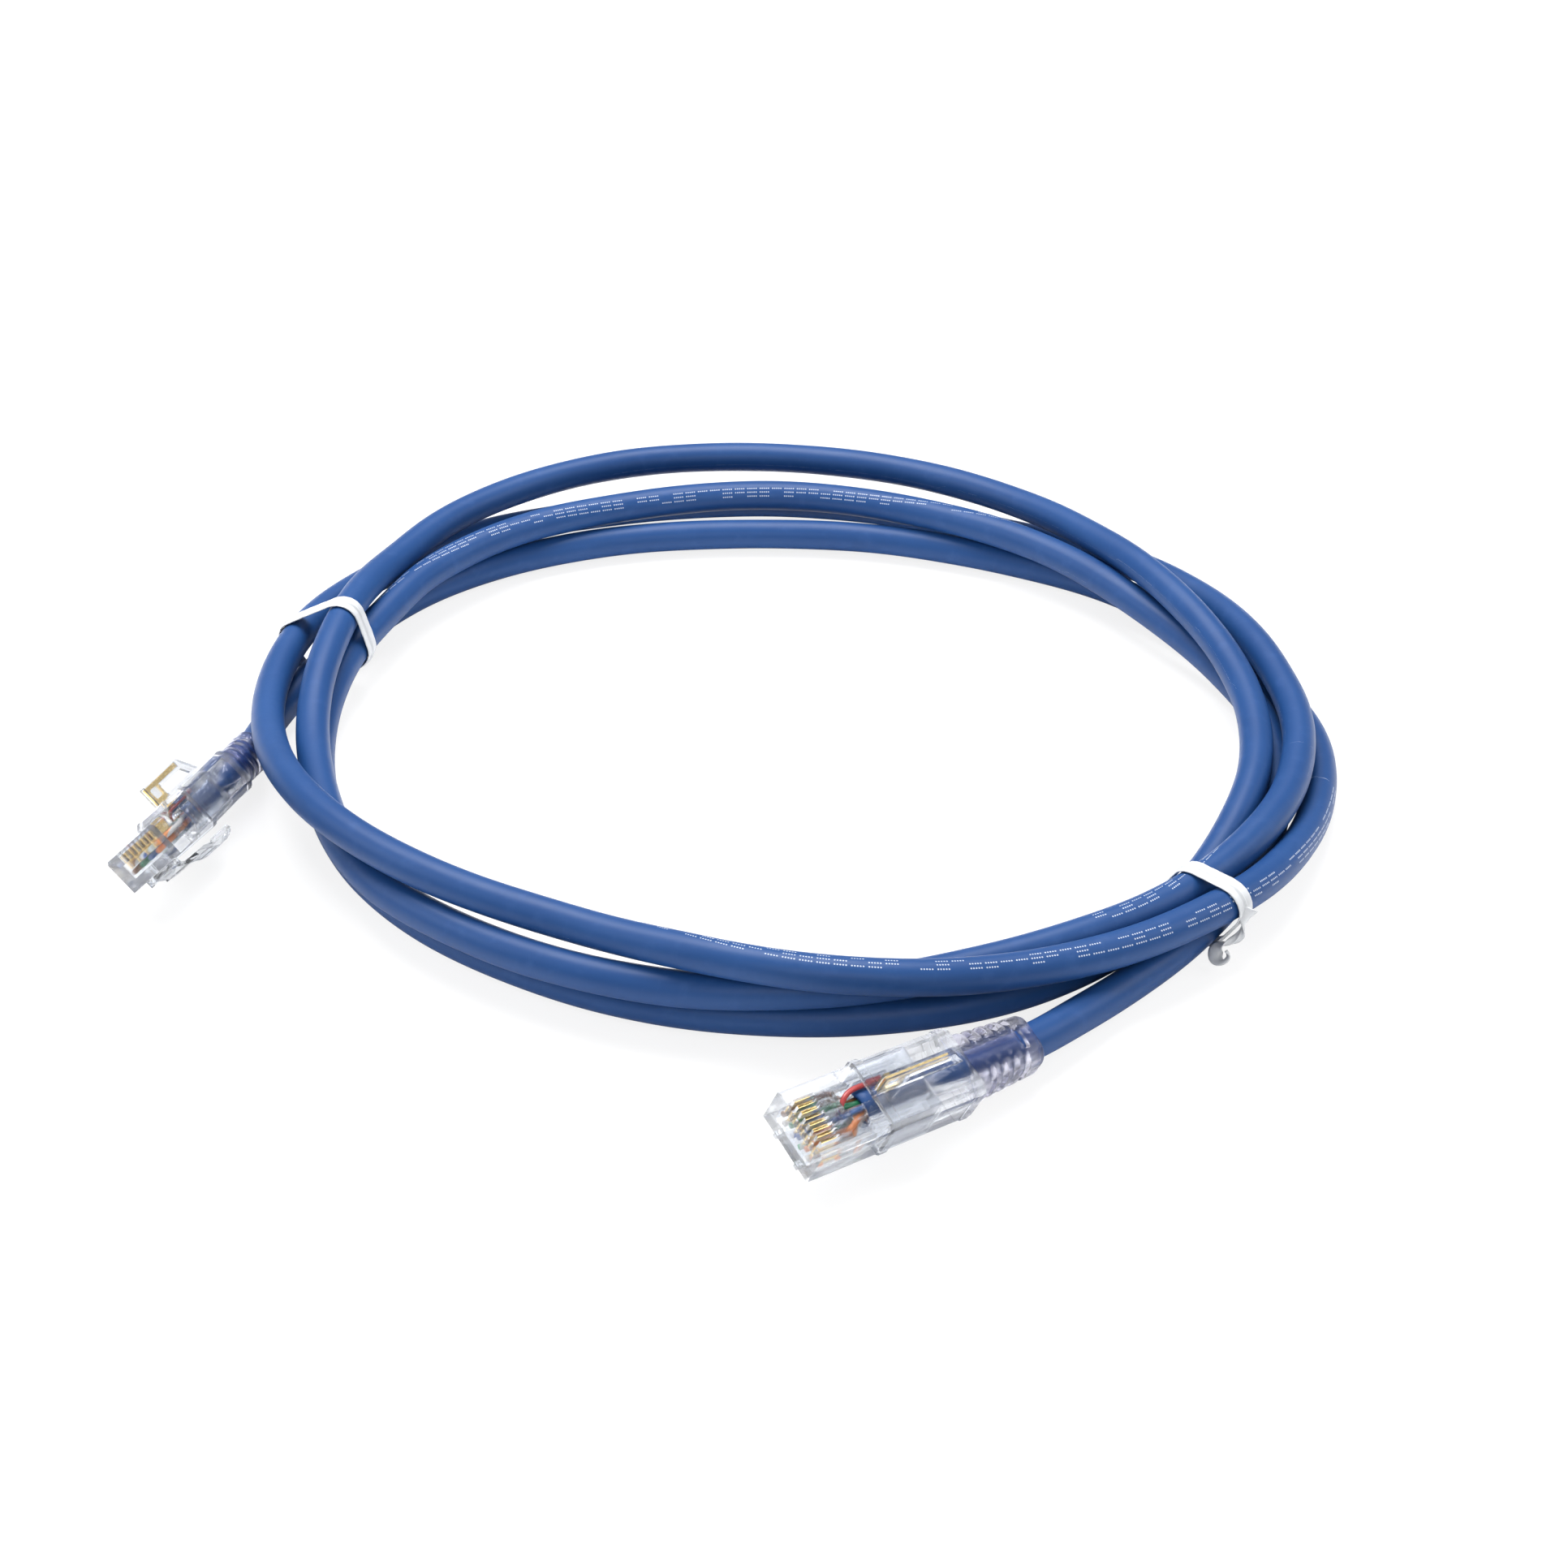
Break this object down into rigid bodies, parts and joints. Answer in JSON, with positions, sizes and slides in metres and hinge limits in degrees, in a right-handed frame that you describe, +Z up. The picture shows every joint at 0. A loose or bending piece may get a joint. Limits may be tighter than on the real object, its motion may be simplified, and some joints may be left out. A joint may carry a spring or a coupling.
{
  "type": "ethernet patch cable",
  "caption": "Coiled blue network patch cable with a clear eight position plug, finned rear housing and ribbed boot on each end, held by two white twist ties.",
  "frame": {"origin": "middle of the coil's footprint, at floor level", "axes": "+Z up from the surface the coil lies on, +X along the plugs' side to side direction of the oval coil, +Y away from plug a"},
  "size_m": [0.2036, 0.2203, 0.0185],
  "materials": {
    "blue_pvc": "satin flexible blue vinyl jacket",
    "clear_plastic": "clear polished polycarbonate",
    "clear_latch": "clear polished polycarbonate",
    "milky_boot": "slightly milky clear soft vinyl",
    "gold": "gold plated contact",
    "insulation_brown": "smooth brown insulation",
    "insulation_white_brown": "smooth white and brown insulation",
    "insulation_green": "smooth green insulation",
    "insulation_white_blue": "smooth white and blue insulation",
    "insulation_blue": "smooth blue insulation",
    "insulation_white_green": "smooth white and green insulation",
    "insulation_orange": "smooth orange insulation",
    "insulation_white_orange": "smooth white and orange insulation",
    "insulation_red": "smooth red insulation",
    "tie_vinyl": "white vinyl ribbon"
  },
  "bodies": {
    "cable_and_plugs": {"cable_jacket": "blue_pvc", "wire_brown": "insulation_brown", "wire_white_brown": "insulation_white_brown", "wire_green": "insulation_green", "wire_white_blue": "insulation_white_blue", "wire_blue": "insulation_blue", "wire_white_green": "insulation_white_green", "wire_orange": "insulation_orange", "wire_white_orange": "insulation_white_orange", "wire_sense_red": "insulation_red", "plug_body_a": "clear_plastic", "contacts_a": "gold", "load_bar_a": "clear_plastic", "rear_housing_a": "clear_plastic", "sense_contact_a": "gold", "boot_a": "milky_boot", "plug_body_b": "clear_plastic", "contacts_b": "gold", "load_bar_b": "clear_plastic", "rear_housing_b": "clear_plastic", "sense_contact_b": "gold", "boot_b": "milky_boot", "twist_tie_left": "tie_vinyl", "twist_tie_right": "tie_vinyl"},
    "latch_a": {"latch_a": "clear_latch"},
    "latch_b": {"latch_b": "clear_latch"}
  },
  "joints": [
    {"name": "latch_a_flex", "type": "hinge", "parent": "cable_and_plugs", "child": "latch_a", "pos_m": [0.00714, -0.10321, 0.00681], "axis": [0.5248, -0.7468, -0.4085], "range_deg": [0, 4]},
    {"name": "latch_b_flex", "type": "hinge", "parent": "cable_and_plugs", "child": "latch_b", "pos_m": [-0.09293, -0.03868, 0.00916], "axis": [0.7193, -0.0266, 0.6941], "range_deg": [0, 4]}
  ]
}
